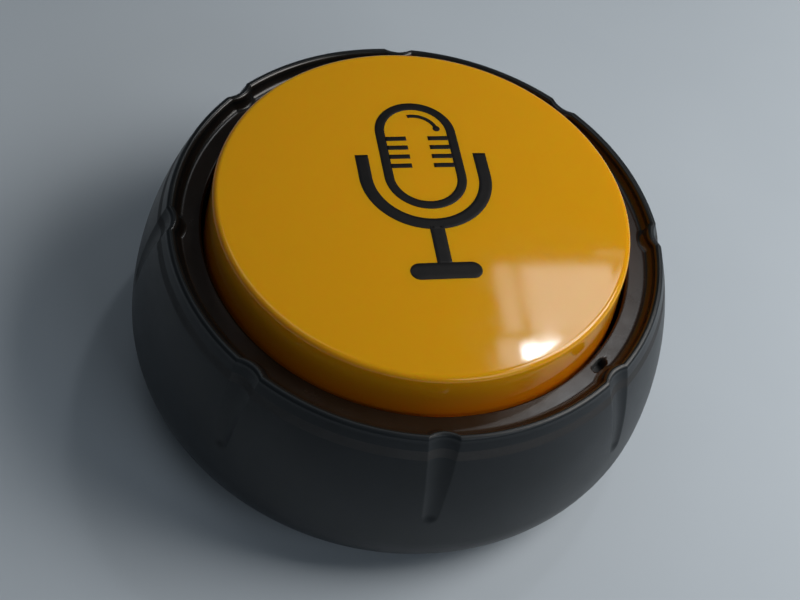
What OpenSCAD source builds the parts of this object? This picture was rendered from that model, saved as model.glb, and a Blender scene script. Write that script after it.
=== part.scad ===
// Quiz buzzer: a palm-sized press button that records a short sound and plays it back.
// Frame: +Z up, origin on the plane the feet stand on, at the centre of the round housing,
// +Y towards the top of the symbol printed on the button.

/* [Housing] */
// Largest radius of the housing, at its belly
belly_r = 44.5; // [43.5:0.5:46]
// Height of the belly above the table
belly_z = 11; // [10:0.5:12]
// Outer radius of the housing just under the rounded lip
rim_r = 40; // [39.5:0.25:41]
// Height of the lip's top
rim_z = 34.2; // [33.8:0.1:35]
// Radius of the bottom edge of the housing
heel_r = 39; // [38.5:0.25:40]
// Wall thickness of the housing
wall = 2.2; // [2:0.1:2.4]
// Number of flutes around the rim
flutes = 8; // [4:1:12]
// Depth of a flute at the rim
flute_depth = 1.25; // [0.8:0.05:1.4]
// Radius of the flute's round section
flute_r = 3.1; // [2.5:0.1:3.6]

/* [Button] */
// Radius of the button at its top edge
button_r = 33.15; // [32.5:0.05:33.3]
// Height of the button's flat edge, before the crown
button_z = 39.6; // [39:0.1:41]
// Rise of the crown at the centre
crown = 0.8; // [0.4:0.1:1.5]
// Rounding of the button's top edge
button_edge = 1; // [0.6:0.1:1.4]
// How far the button travels when pressed
travel = 3; // [2:0.1:3]

/* [Power] */
// Radius of an AAA cell
cell_r = 5.2; // [5:0.05:5.25]
// Length of an AAA cell with its terminal
cell_len = 44.5; // [43.5:0.1:44.5]

/* [Hidden] */
$fn = 96;

// Heights of the stack, from the table up
foot_h = 1.2;                       // the feet stand this far out of the base plate
plate_z = foot_h;                   // outer face of the base plate
plate_top = plate_z + 2;            // inner face of the base plate
bay_top = 15.6;                     // top of the battery bay's roof
board_z = 17.5;                     // underside of the circuit board
board_top = board_z + 1.6;
deck_z = 21;                        // underside of the inner deck
deck_top = deck_z + 2;
floor_under = 30.4;                 // underside of the well floor
floor_z = 32;                       // well floor around the button

// Housing outline
lip_r = 0.7;                        // round of the lip
lip_z = rim_z - lip_r;
side_rise = lip_z - belly_z;
side_arc = (pow(belly_r - rim_r, 2) + pow(side_rise, 2)) / (2 * (belly_r - rim_r));
heel_drop = belly_z - plate_z;
heel_arc = (pow(belly_r - heel_r, 2) + pow(heel_drop, 2)) / (2 * (belly_r - heel_r));
side_c = belly_r - side_arc;        // radius at which the side arc is centred
heel_c = belly_r - heel_arc;
opening_r = 34.4;                   // hole that the button moves in
well_r = 37.3;                      // where the flat well floor ends
plate_r = 37.2;
ledge_r = 36.6;                     // ledge that the base plate seats against
flute_run = 19.5;                     // length of a flute below the lip

// Angles of the three-fold features
tab_angles = [30, 150, 270];
ear_angles = [90, 210, 330];
ear_at = 36.9;
post_at = 31.5;                     // case screws and the deck's legs
spring_at = 22;

// Battery bay
bay_x = 25.3;
bay_y = [-21.8, 0.8];
bay_wall = 1.2;
cell_z = 8.65;
cell_y = [-5.1, -15.9];
door_y = [-21.2, 0.2];
door_x = 24.7;
door_top = 3;
lobe_x = 29;
lobe_y = -10.5;
tab_y = -10.5;                      // the door's tab stands between the cells
tab_wide = 3.4;

// Speaker
speaker_y = 19;
speaker_r = 14;

// Mode switch
switch_x = -31.5;
switch_y = 2;
switch_len = 9.2;
switch_wide = 4.8;
knob_travel = 2.5;

// Microphone under the well floor
mic_angle = -43.5;
mic_at = 36.5;
mic_hole_at = 36;

foot_spots = [[19, 26], [-19, 26], [18, -27.5], [-18, -27.5]];
foot_r = 3.5;

// Board and its screws
board_x = 46;
board_y = 32;
board_spots = [[20, 12.5], [-20, 12.5], [20, -12.5], [-20, -12.5]];

// ---- shared shapes ----------------------------------------------------------------------

// Puts a copy of its children at each angle, at radius r from the centre
module around(angles, r = 0) {
    for (a = angles) rotate([0, 0, a]) translate([r, 0, 0]) children();
}

module tube(r_out, r_in, h) {
    difference() {
        cylinder(r = r_out, h = h);
        translate([0, 0, -1]) cylinder(r = r_in, h = h + 2);
    }
}

// A box given by its lowest and highest corners
module block(low, high) {
    translate(low) cube(high - low);
}

// Pan-head screw pointing up: head from z to z + head_h, shank above it
module screw(z, head_r, head_h, shank_r, shank_h) {
    difference() {
        union() {
            translate([0, 0, z]) cylinder(r = head_r, h = head_h);
            translate([0, 0, z + head_h - 0.01]) cylinder(r = shank_r, h = shank_h);
        }
        for (a = [0, 90]) rotate([0, 0, a])
            block([-head_r * 0.65, -0.3, z - 1], [head_r * 0.65, 0.3, z + head_h * 0.55]);
    }
}

function unit(v) = v / norm(v);

// Round wire swept along a list of points; side is any direction that the wire never runs along
module wire(points, r, side, sides = 8) {
    n = len(points);
    rings = [for (i = [0 : n - 1])
        let (t = unit(points[min(i + 1, n - 1)] - points[max(i - 1, 0)]),
             u = unit(cross(t, side)),
             v = cross(t, u))
        for (k = [0 : sides - 1])
            points[i] + r * (cos(360 * k / sides) * u + sin(360 * k / sides) * v)];
    walls = [for (i = [0 : n - 2]) for (k = [0 : sides - 1])
        let (a = i * sides + k, b = i * sides + (k + 1) % sides)
        each [[a, a + sides, b], [b, a + sides, b + sides]]];
    ends = [[for (k = [0 : sides - 1]) k], [for (k = [sides - 1 : -1 : 0]) (n - 1) * sides + k]];
    polyhedron(points = rings, faces = concat(walls, ends));
}

// A smooth curve through a short list of points, three points to a stretch
function curve(p) = concat([for (i = [0 : len(p) - 2]) for (s = [0, 1 / 3, 2 / 3])
    let (a = p[max(i - 1, 0)], b = p[i], c = p[i + 1], d = p[min(i + 2, len(p) - 1)])
    0.5 * (2 * b + (c - a) * s + (2 * a - 5 * b + 4 * c - d) * s * s
           + (3 * b - a - 3 * c + d) * s * s * s)], [p[len(p) - 1]]);

// Points of a coil that climbs +Z from 0 to h; its radius goes from r0 to r1
function coil(r0, r1, h, turns, steps = 14) = [for (i = [0 : turns * steps])
    let (s = i / (turns * steps), r = r0 + (r1 - r0) * s)
    [r * cos(360 * i / steps), r * sin(360 * i / steps), h * s]];

// ---- housing ----------------------------------------------------------------------------

// Half section of everything inside the side wall's face, moved in by inset
module side_outline(inset = 0) {
    intersection() {
        translate([0, belly_z]) square([belly_r + 1, side_rise]);
        translate([side_c, belly_z]) circle(r = side_arc - inset);
    }
    intersection() {
        translate([0, plate_z]) square([belly_r + 1, heel_drop]);
        union() {
            translate([heel_c, belly_z]) circle(r = heel_arc - inset);
            square([heel_c, belly_z]);
        }
    }
}

module housing_section() {
    difference() {
        union() {
            side_outline();
            translate([rim_r - lip_r, lip_z]) circle(r = lip_r);
        }
        intersection() {
            side_outline(wall);
            translate([0, plate_top + 1.4]) square([belly_r, floor_under - plate_top - 1.4]);
        }
        translate([0, plate_z - 1]) square([ledge_r, floor_under]);
        translate([0, plate_z - 1]) square([plate_r + 0.2, plate_top - plate_z + 1]);
        translate([0, floor_under - 1]) square([opening_r, 8]);
        polygon([[0, floor_z], [well_r, floor_z], [rim_r - 2 * lip_r, lip_z - 0.2],
                 [rim_r - 2 * lip_r, lip_z], [0, rim_z]]);
    }
}

// The cutter is a ring whose arc drifts out of the side wall on the way down, so the
// flute is deepest at the lip and runs out at flute_run below it
module flute_cutter() {
    top = side_rise / side_arc;
    end = (side_rise - flute_run) / side_arc;
    drop = flute_depth / (top - end);
    translate([side_c, 0, belly_z - drop]) rotate([90, 0, 0])
        rotate_extrude(angle = 60) translate([side_arc + flute_r + drop * end, 0])
            circle(r = flute_r);
}

module housing_shell() {
    color([0.10, 0.12, 0.13]) difference() {
        union() {
            rotate_extrude() housing_section();
            // the lip keeps its thickness behind each flute
            around([for (i = [0 : flutes - 1]) 360 * i / flutes]) intersection() {
                translate([rim_r + flute_r - flute_depth, 0, floor_z - 0.4])
                    cylinder(r = flute_r + 1.3, h = lip_z - floor_z + 0.6);
                cylinder(r = rim_r - lip_r, h = rim_z);
            }
            // posts that carry the inner deck
            around(ear_angles, ear_at) {
                translate([0, 0, deck_top]) cylinder(r = 2.4, h = floor_under - deck_top + 0.2);
                block([1.5, -0.8, deck_top + 1], [3.6, 0.8, floor_under + 0.2]);
            }
        }
        around([for (i = [0 : flutes - 1]) 360 * i / flutes]) flute_cutter();
        around(ear_angles, ear_at) translate([0, 0, deck_top - 1]) cylinder(r = 1.15, h = 7);
        // sound hole of the microphone
        around([mic_angle], mic_hole_at) {
            block([-0.7, -0.8, floor_under - 1], [0.7, 0.8, floor_z + 1]);
            for (s = [-1, 1]) translate([0, 0.8 * s, floor_under - 1]) cylinder(r = 0.7, h = 3);
        }
    }
}

// ---- button -----------------------------------------------------------------------------

skirt_z = 28.4;
skirt_r = 33.9;
edge_z = button_z - button_edge;
ceiling_z = 37.4;
crown_arc = (pow(button_r - button_edge, 2) + pow(crown, 2)) / (2 * crown);
plunger_top = board_top + 5;
plunger_travel = 0.3;
stem_z = plunger_top - plunger_travel + travel + 0.02;

// Half section of the crown's surface and all below it, raised by lift
module crown_outline(lift = 0) {
    intersection() {
        translate([0, button_z + crown - crown_arc + lift]) circle(r = crown_arc, $fn = 720);
        translate([0, edge_z]) square([button_r - button_edge, button_edge + crown + lift]);
    }
}

module button_cap() {
    color([0.89, 0.63, 0.10]) difference() {
        union() {
            rotate_extrude() difference() {
                union() {
                    polygon([[0, skirt_z], [skirt_r, skirt_z], [button_r, edge_z], [0, edge_z]]);
                    translate([button_r - button_edge, edge_z]) circle(r = button_edge);
                    crown_outline();
                }
                polygon([[0, skirt_z - 1], [skirt_r - 1.8, skirt_z - 1],
                         [button_r - 1.8, ceiling_z], [0, ceiling_z]]);
            }
            // tabs that catch under the well floor
            around(tab_angles) intersection() {
                tube_section(skirt_r - 0.5, skirt_r + 1.5, skirt_z + 0.5, floor_under - 0.3);
                block([0, -4, skirt_z], [belly_r, 4, floor_under]);
            }
            // stem over the switch, spring guides and stiffening ribs
            translate([0, 0, stem_z]) cylinder(r = 3, h = ceiling_z - stem_z + 0.5);
            around(tab_angles, spring_at)
                translate([0, 0, ceiling_z - 5]) cylinder(r = 2.3, h = 5.5);
            around(ear_angles) block([2, -0.6, ceiling_z - 3], [32, 0.6, ceiling_z + 0.5]);
        }
    }
}

// Ring between two radii and two heights
module tube_section(r_in, r_out, z_low, z_high) {
    translate([0, 0, z_low]) tube(r_out, r_in, z_high - z_low);
}

// Microphone symbol: a lined capsule in a cradle on a stem and a base bar
symbol_turn = 4.4;                  // the print sits a little askew to the flutes
symbol_at = [0.8, -2.95];
capsule_r = 6.65;
capsule_y = [7.9, 17.35];
cradle_r = 10.7;
cradle_top = 12.7;
cradle_line = 2.1;
capsule_line = 1.55;
base_y = -10.8;

module pill(a, b, r) {
    translate([-r, a]) square([2 * r, b - a]);
    translate([0, a]) circle(r = r);
    translate([0, b]) circle(r = r);
}

module symbol_outline() {
    difference() {
        pill(capsule_y[0], capsule_y[1], capsule_r);
        pill(capsule_y[0], capsule_y[1], capsule_r - capsule_line);
    }
    for (side = [-1, 1], i = [0 : 3])
        translate([side * (capsule_r - capsule_line + 1.9 - 3.5), 10.25 + 1.94 * i])
            square([3.5, 0.9], center = true);
    difference() {
        union() {
            translate([0, capsule_y[0]]) circle(r = cradle_r);
            translate([-cradle_r, capsule_y[0]]) square([2 * cradle_r, cradle_top - capsule_y[0]]);
        }
        translate([0, capsule_y[0]]) circle(r = cradle_r - cradle_line);
        translate([-cradle_r + cradle_line, capsule_y[0]])
            square([2 * (cradle_r - cradle_line), cradle_top]);
        translate([-cradle_r - 1, cradle_top]) square([2 * cradle_r + 2, cradle_r]);
    }
    translate([-1.175, base_y]) square([2.35, capsule_y[0] - cradle_r + cradle_line / 2 - base_y]);
    rotate([0, 0, -90]) translate([-base_y, 0]) pill(-4.1, 4.1, 1.55);
    // glint inside the capsule
    translate([0, capsule_y[1]]) {
        intersection() {
            difference() { circle(r = 4.05); circle(r = 3.4); }
            polygon([[0, 0], [-1.1, 5], [5, 5], [5, 0.7]]);
        }
        rotate([0, 0, 11]) translate([3.7, 0]) circle(r = 0.6);
    }
}

module button_symbol() {
    color([0.03, 0.03, 0.03]) intersection() {
        translate([0, 0, button_z]) linear_extrude(2)
            rotate([0, 0, symbol_turn]) translate(symbol_at) symbol_outline();
        rotate_extrude() difference() {
            crown_outline(0.08);
            crown_outline();
        }
    }
}

module return_spring(i) {
    color([0.75, 0.76, 0.78]) around([tab_angles[i]], spring_at)
        translate([0, 0, deck_top + 0.4])
            wire(coil(3.1, 3.1, ceiling_z - deck_top - 0.8, 6), 0.35, [0, 0, 1], 6);
}

// ---- base -------------------------------------------------------------------------------

// Outline of the door, or of the hole it closes when grown by gap
module door_outline(gap = 0) {
    translate([-door_x - gap, door_y[0] - gap])
        square([2 * door_x + 2 * gap, door_y[1] - door_y[0] + 2 * gap]);
    translate([door_x - 1, lobe_y - 3.9 - gap]) square([lobe_x - door_x + 1, 7.8 + 2 * gap]);
    translate([lobe_x, lobe_y]) circle(r = 3.9 + gap);
}

module base_plate() {
    color([0.07, 0.07, 0.08]) difference() {
        union() {
            translate([0, 0, plate_z]) cylinder(r = plate_r, h = plate_top - plate_z);
            // bosses of the case screws
            around(tab_angles, post_at) translate([0, 0, plate_top - 0.1]) cylinder(r = 3.4, h = 4.9);
            // battery bay with its roof
            block([-bay_x - bay_wall, bay_y[0] - bay_wall, plate_top - 0.1],
                  [bay_x + bay_wall, bay_y[1] + bay_wall, bay_top]);
            // boss of the door screw
            translate([lobe_x, lobe_y, door_top + 0.8]) cylinder(r = 3.2, h = 5.2);
            // wall and hooks that hold the speaker
            translate([0, speaker_y, plate_top - 0.1]) {
                tube(speaker_r + 1.5, speaker_r + 0.3, 3.6);
                around(ear_angles, speaker_r)
                    block([-0.7, -2, 2.1], [0.8, 2, 3.2]);
            }
        }
        translate([0, 0, plate_z - 1]) linear_extrude(plate_top - plate_z + 1.6)
            door_outline(0.3);
        block([-bay_x, bay_y[0], plate_top - 0.1], [bay_x, bay_y[1], bay_top - 1.2]);
        // slots for the door's tab and for the contacts' solder tags
        block([-bay_x - 3, tab_y - tab_wide / 2 - 0.5, plate_top],
              [-bay_x + 1, tab_y + tab_wide / 2 + 0.5, 6]);
        for (y = cell_y) block([bay_x - 1, y - 1.2, 12.6], [bay_x + 3, y + 1.2, 14]);
        translate([lobe_x, lobe_y, plate_top]) cylinder(r = 1.7, h = 7);
        around(tab_angles, post_at) {
            translate([0, 0, plate_z - 1]) cylinder(r = 2.9, h = 4);
            cylinder(r = 1.5, h = 10);
        }
        // sound holes under the speaker: one, then rings of six and twelve
        translate([0, speaker_y, plate_z - 1]) for (ring = [0 : 2])
            around([for (i = [0 : max(6 * ring, 1) - 1]) 360 * i / max(6 * ring, 1)], 3.9 * ring)
                cylinder(r = 1.1, h = 4);
        // slot and finger pocket of the mode switch
        block([switch_x - 1.3, switch_y - 2.75, plate_z - 1], [switch_x + 1.3, switch_y + 2.75, 4]);
        block([switch_x - 2.5, switch_y - 4.5, plate_z - 1], [switch_x + 2.5, switch_y + 4.5, 2.1]);
        for (p = foot_spots) translate([p[0], p[1], 0]) cylinder(r = foot_r + 0.2, h = 1.8);
    }
}

module battery_door() {
    color([0.07, 0.07, 0.08]) difference() {
        union() {
            translate([0, 0, plate_z]) linear_extrude(door_top - plate_z) door_outline();
            translate([lobe_x, lobe_y, plate_z]) cylinder(r = 3.9, h = door_top - plate_z + 0.6);
            block([-door_x, tab_y - tab_wide / 2, plate_z + 1], [-door_x + 1, tab_y + tab_wide / 2, 4.6]);
            block([-door_x - 2.9, tab_y - tab_wide / 2, 3.4], [-door_x + 1, tab_y + tab_wide / 2, 4.6]);
        }
        translate([lobe_x, lobe_y, 0]) {
            cylinder(r = 1.5, h = 6);
            cylinder(r = 2.7, h = 2.7);
        }
        // grip grooves
        for (i = [0 : 3])
            translate([14 + 2 * i, lobe_y - 5, plate_z]) rotate([-90, 0, 0]) cylinder(r = 0.5, h = 10);
    }
}

module battery_door_screw() {
    color([0.72, 0.73, 0.75]) translate([lobe_x, lobe_y, 0]) screw(1.5, 2.4, 1.2, 1.25, 5.3);
}

module foot_pads() {
    color([0.13, 0.13, 0.13]) for (p = foot_spots)
        translate([p[0], p[1], 0]) cylinder(r = foot_r, h = 1.8);
}

module case_screws() {
    color([0.72, 0.73, 0.75]) around(tab_angles, post_at) screw(2.6, 2.5, 1.6, 1.25, 12);
}

// ---- battery bay ------------------------------------------------------------------------

plate_t = 0.4;
contact_x = bay_x - plate_t;
tail_x = contact_x - cell_len;      // where a cell's flat end is, seen from its terminal's end

// A cell along X, its terminal towards +X and touching the contact there
module cell() {
    translate([tail_x, 0, cell_z]) rotate([0, 90, 0]) cylinder(r = cell_r, h = cell_len - 1);
    translate([contact_x - 1.1, 0, cell_z]) rotate([0, 90, 0]) cylinder(r = 1.9, h = 1.1);
}

module aaa_cell_1() {
    color([0.20, 0.42, 0.30]) translate([0, cell_y[0], 0]) cell();
}

module aaa_cell_2() {
    color([0.20, 0.42, 0.30]) translate([0, cell_y[1], 0]) mirror([1, 0, 0]) cell();
}

module battery_contact_link() {
    color([0.80, 0.80, 0.78])
        block([-bay_x, cell_y[1] - 4, 6.2], [-contact_x, cell_y[0] + 4, 12.4]);
}

// End plate with a solder tag through the bay's wall
module end_contact(y) {
    block([contact_x, y - 4, 5.4], [bay_x, y + 4, 13.4]);
    block([contact_x, y - 0.7, 13], [bay_x + 2.4, y + 0.7, 13.4]);
}

module battery_contact_positive() {
    color([0.80, 0.80, 0.78]) end_contact(cell_y[0]);
}

module battery_contact_negative() {
    color([0.80, 0.80, 0.78]) end_contact(cell_y[1]);
}

// Coil between a cell's flat end and its contact, wide end on the contact
module battery_spring() {
    gap = contact_x + tail_x;
    translate([-contact_x + 0.4, 0, cell_z]) rotate([0, 90, 0])
        wire(coil(3.2, 2, gap - 0.8, 3, 12), 0.35, [0, 0, 1], 6);
}

module battery_spring_1() {
    color([0.80, 0.80, 0.78]) translate([0, cell_y[0], 0]) battery_spring();
}

module battery_spring_2() {
    color([0.80, 0.80, 0.78]) translate([0, cell_y[1], 0]) mirror([1, 0, 0]) battery_spring();
}

// ---- inner deck and electronics ---------------------------------------------------------

module inner_deck() {
    color([0.85, 0.85, 0.82]) difference() {
        union() {
            translate([0, 0, deck_z]) cylinder(r = 33.4, h = deck_top - deck_z);
            around(ear_angles) {
                block([30, -2.4, deck_z], [ear_at, 2.4, deck_top]);
                translate([ear_at, 0, deck_z]) cylinder(r = 2.4, h = deck_top - deck_z);
            }
            // legs that take the case screws
            around(tab_angles, post_at) translate([0, 0, 8]) cylinder(r = 3.2, h = deck_z - 7.9);
            // pins inside the return springs
            around(tab_angles, spring_at) translate([0, 0, deck_z]) cylinder(r = 2.3, h = 5);
            // collar around the switch
            translate([0, 0, deck_z]) tube(7, 5.6, 4.2);
            for (p = board_spots) translate([p[0], p[1], board_top]) cylinder(r = 2.4, h = 2);
        }
        block([-3.6, -3.6, deck_z - 1], [3.6, 3.6, deck_top + 1]);
        around(ear_angles, ear_at) translate([0, 0, deck_z - 1]) cylinder(r = 1.4, h = 4);
        around(tab_angles, post_at) translate([0, 0, 7]) cylinder(r = 1.3, h = 11);
        for (p = board_spots) translate([p[0], p[1], board_top - 1]) cylinder(r = 1.05, h = 4.2);
    }
}

module circuit_board() {
    color([0.08, 0.36, 0.20]) difference() {
        block([-board_x / 2, -board_y / 2, board_z], [board_x / 2, board_y / 2, board_top]);
        for (p = board_spots) translate([p[0], p[1], board_z - 1]) cylinder(r = 1.2, h = 4);
    }
}

module voice_chip() {
    color([0.05, 0.05, 0.05]) {
        block([-4, -6.5, board_z - 1.4], [4, -1.5, board_z - 0.2]);
        for (side = [0, 1], i = [0 : 3])
            block([-3.3 + 1.8 * i, side ? -1.6 : -7.4, board_z - 0.9],
                  [-2.7 + 1.8 * i, side ? -0.6 : -6.4, board_z]);
    }
}

module capacitor() {
    color([0.15, 0.15, 0.30]) translate([12, 9, board_z - 5]) cylinder(r = 2.5, h = 5);
}

module tact_switch_body() {
    color([0.12, 0.12, 0.12]) difference() {
        block([-3, -3, board_top], [3, 3, board_top + 3.5]);
        translate([0, 0, board_top + 2.4]) cylinder(r = 1.85, h = 2);
    }
}

module tact_switch_plunger() {
    color([0.45, 0.30, 0.18]) translate([0, 0, board_top + 2.8])
        cylinder(r = 1.75, h = plunger_top - board_top - 2.8);
}

module microphone_capsule() {
    color([0.78, 0.78, 0.80]) around([mic_angle], mic_at)
        translate([0, 0, floor_under - 2]) cylinder(r = 1.85, h = 1.6);
}

module microphone_boot() {
    color([0.15, 0.15, 0.15]) around([mic_angle], mic_at) translate([0, 0, floor_under - 1.8])
        difference() {
            cylinder(r = 2.3, h = 1.8);
            translate([0, 0, -1]) cylinder(r = 1.85, h = 2.4);
            cylinder(r = 1.3, h = 3);
        }
}

// ---- speaker, face down over the sound holes ----------------------------------------------

module at_speaker(z) {
    translate([0, speaker_y, z]) children();
}

module speaker_gasket() {
    color([0.25, 0.25, 0.25]) at_speaker(plate_top) tube(speaker_r, 12, 0.6);
}

module speaker_frame() {
    color([0.60, 0.61, 0.63]) at_speaker(0) rotate_extrude()
        polygon([[12.2, 3.8], [speaker_r, 3.8], [speaker_r, 5], [12.6, 5], [8, 8.4], [7.4, 8.4],
                 [7.4, 7.6], [12.2, 4.6]]);
}

module speaker_cone() {
    color([0.20, 0.20, 0.22]) at_speaker(0) rotate_extrude()
        polygon([[12.15, 3.9], [12.15, 4.3], [6, 7.4], [0, 6.4], [0, 6], [6, 7], [11.5, 3.9]]);
}

module speaker_magnet() {
    color([0.50, 0.51, 0.53]) at_speaker(8.4) cylinder(r = 7.8, h = 3.4);
}

// ---- mode switch ------------------------------------------------------------------------

module mode_switch_body() {
    color([0.70, 0.70, 0.72]) difference() {
        block([switch_x - switch_wide / 2, switch_y - switch_len / 2, plate_top],
              [switch_x + switch_wide / 2, switch_y + switch_len / 2, plate_top + 4.4]);
        block([switch_x - 1.3, switch_y - 2.75, plate_top - 1], [switch_x + 1.3, switch_y + 2.75, 5.2]);
    }
}

// The knob rests at its -Y stop and slides knob_travel towards +Y
module mode_switch_knob() {
    color([0.90, 0.90, 0.88]) difference() {
        block([switch_x - 1, switch_y - 2.35, 1.5], [switch_x + 1, switch_y - 2.35 + 2.2, 4.9]);
        for (i = [0 : 1]) block([switch_x - 2, switch_y - 1.8 + 0.8 * i, 1],
                                [switch_x + 2, switch_y - 1.5 + 0.8 * i, 1.8]);
    }
}

// ---- screws and leads -------------------------------------------------------------------

module deck_screws() {
    color([0.72, 0.73, 0.75]) around(ear_angles, ear_at) screw(deck_z - 1.4, 2.2, 1.4, 1.1, 7);
}

module board_screws() {
    color([0.72, 0.73, 0.75]) for (p = board_spots)
        translate([p[0], p[1], 0]) screw(board_z - 1.2, 2, 1.2, 1, 4.4);
}

lead_r = 0.55;
battery_route = [[0, 0, 0.02], [0, 0, 0.8], [0.05, 0, 1.9], [-0.35, 0, 2.75], [-1.4, 0, 3.05],
                 [-2.8, 0, 3], [-4.2, 0, 2.95], [-4.91, 0, 3.24], [-5.2, 0, 3.8], [-5.2, 0, 4.07]];

// From a solder tag up the bay's wall and in under the board's edge
module battery_lead(y) {
    translate([bay_x + 1.9, y, 13.4]) wire(curve(battery_route), lead_r, [0, 1, 0]);
}

module battery_lead_red() {
    color([0.75, 0.08, 0.06]) battery_lead(cell_y[0]);
}

module battery_lead_black() {
    color([0.06, 0.06, 0.06]) battery_lead(cell_y[1] + 1);
}

module speaker_leads() {
    color([0.75, 0.08, 0.06]) for (s = [-1, 1])
        wire(curve([[s * 3, 12.6, 12.4], [s * 3.2, 10.5, 13.2], [s * 3.4, 10, 15],
                    [s * 3.4, 10, board_z]]), lead_r, [1, 0, 0]);
}

module microphone_leads() {
    color([0.06, 0.06, 0.06]) for (s = [-1, 1])
        wire(curve([for (p = [[mic_at, 28.4], [36.8, 26], [37, 23.5], [36.4, 21.4], [34.4, 20.2],
                              [29, 20], [25, 20.1], [23, 20.15], [22.29, 19.86], [22, 19.3],
                              [22, 19.12]])
            [cos(mic_angle) * p[0] - sin(mic_angle) * 0.75 * s,
             sin(mic_angle) * p[0] + cos(mic_angle) * 0.75 * s, p[1]]]),
             0.45, [-sin(mic_angle), cos(mic_angle), 0]);
}

module mode_switch_leads() {
    color([0.85, 0.80, 0.10]) for (i = [-1 : 1])
        wire(curve([[switch_x, switch_y + 2.5 * i, 7.6], [switch_x, switch_y + 2.5 * i, 10.5],
                    [switch_x + 1, switch_y + 2.2 * i, 14], [switch_x + 4.5, switch_y + 1.8 * i, 16.2],
                    [switch_x + 9.4, switch_y + 1.6 * i, 16.35], [switch_x + 10.11, switch_y + 1.6 * i, 16.64],
                    [switch_x + 10.4, switch_y + 1.6 * i, 17.2], [switch_x + 10.4, switch_y + 1.6 * i, 17.47]]),
             lead_r, [0, 1, 0]);
}

// ---- the assembly -----------------------------------------------------------------------

housing_shell();
button_cap();
button_symbol();
base_plate();
battery_door();
battery_door_screw();
foot_pads();
aaa_cell_1();
aaa_cell_2();
battery_contact_link();
battery_contact_positive();
battery_contact_negative();
battery_spring_1();
battery_spring_2();
inner_deck();
circuit_board();
voice_chip();
capacitor();
tact_switch_body();
tact_switch_plunger();
microphone_capsule();
microphone_boot();
speaker_frame();
speaker_cone();
speaker_magnet();
speaker_gasket();
mode_switch_body();
mode_switch_knob();
return_spring(0);  // return_spring_1
return_spring(1);  // return_spring_2
return_spring(2);  // return_spring_3
case_screws();
deck_screws();
board_screws();
battery_lead_red();
battery_lead_black();
speaker_leads();
microphone_leads();
mode_switch_leads();
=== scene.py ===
"""Quiz buzzer: a fluted black housing, a glossy yellow button with a printed microphone symbol,
and everything inside and underneath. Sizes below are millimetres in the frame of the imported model:
+Z up, the feet on the floor, +Y towards the top of the symbol."""
import math

import bmesh
import bpy
import numpy as np
from mathutils import Matrix, Vector


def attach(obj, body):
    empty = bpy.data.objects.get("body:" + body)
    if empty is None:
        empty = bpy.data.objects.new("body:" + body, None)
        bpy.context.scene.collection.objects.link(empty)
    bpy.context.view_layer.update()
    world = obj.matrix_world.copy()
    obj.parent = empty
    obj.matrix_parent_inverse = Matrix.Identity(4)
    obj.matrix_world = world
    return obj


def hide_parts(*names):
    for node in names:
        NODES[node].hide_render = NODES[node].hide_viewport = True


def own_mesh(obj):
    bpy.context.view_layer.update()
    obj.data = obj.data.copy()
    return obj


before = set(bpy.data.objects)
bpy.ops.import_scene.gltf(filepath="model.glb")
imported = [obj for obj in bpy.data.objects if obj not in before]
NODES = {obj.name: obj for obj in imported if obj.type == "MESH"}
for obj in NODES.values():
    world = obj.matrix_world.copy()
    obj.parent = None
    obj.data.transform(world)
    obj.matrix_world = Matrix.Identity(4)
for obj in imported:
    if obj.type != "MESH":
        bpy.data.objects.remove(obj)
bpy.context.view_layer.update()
MM = 0.001

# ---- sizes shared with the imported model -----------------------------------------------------

BELLY_R, BELLY_Z = 44.5, 11.0
RIM_R, RIM_Z = 40.0, 34.2
HEEL_R, HEEL_Z = 39.0, 1.2
LIP_R = 0.7
LIP_Z = RIM_Z - LIP_R
WALL = 2.2
FLOOR_Z, FLOOR_UNDER = 32.0, 30.4
OPENING_R = 34.4
WELL_R = 37.7
LEDGE_R, SEAT_R, SEAT_Z = 36.6, 37.4, 3.2

FLUTES = 8
FLUTE_END = 17.6
FLUTE_TOP_W, FLUTE_END_W = 2.35, 1.15
FLUTE_TOP_D, FLUTE_END_D = 0.75, 0.42

MIC_ANGLE, MIC_AT = -43.5, 36.0
MIC_LONG, MIC_WIDE, MIC_DEEP = 1.5, 0.7, 1.55

BUTTON_R, BUTTON_Z, CROWN, BUTTON_EDGE = 33.15, 39.6, 0.8, 1.0
SKIRT_R, SKIRT_Z, CEILING_Z = 33.9, 28.4, 37.4

SIDE_ARC = ((BELLY_R - RIM_R) ** 2 + (LIP_Z - BELLY_Z) ** 2) / (2 * (BELLY_R - RIM_R))
HEEL_ARC = ((BELLY_R - HEEL_R) ** 2 + (BELLY_Z - HEEL_Z) ** 2) / (2 * (BELLY_R - HEEL_R))
CROWN_ARC = ((BUTTON_R - BUTTON_EDGE) ** 2 + CROWN ** 2) / (2 * CROWN)


# ---- mesh helpers ---------------------------------------------------------------------------

def arc(centre, radius, start, end, count):
    """Points on a circle from one angle to another, in degrees."""
    a = np.radians(np.linspace(start, end, count))
    return np.column_stack([centre[0] + radius * np.cos(a), centre[1] + radius * np.sin(a)])


def line(start, end, count):
    """Evenly spaced points on a straight line, both ends included."""
    s = np.linspace(0, 1, count)[:, None]
    return np.asarray(start, float) * (1 - s) + np.asarray(end, float) * s


def chain(*parts):
    """Joins stretches of an outline and drops the points where one starts on the end of the last."""
    points = np.vstack(parts)
    keep = np.r_[True, np.hypot(*(points[1:] - points[:-1]).T) > 1e-6]
    return points[keep]


def smooth_step(value, low, high):
    """0 below low, 1 above high, and the cubic 3t^2 - 2t^3 between."""
    t = np.clip((value - low) / (high - low), 0, 1)
    return t * t * (3 - 2 * t)


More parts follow.
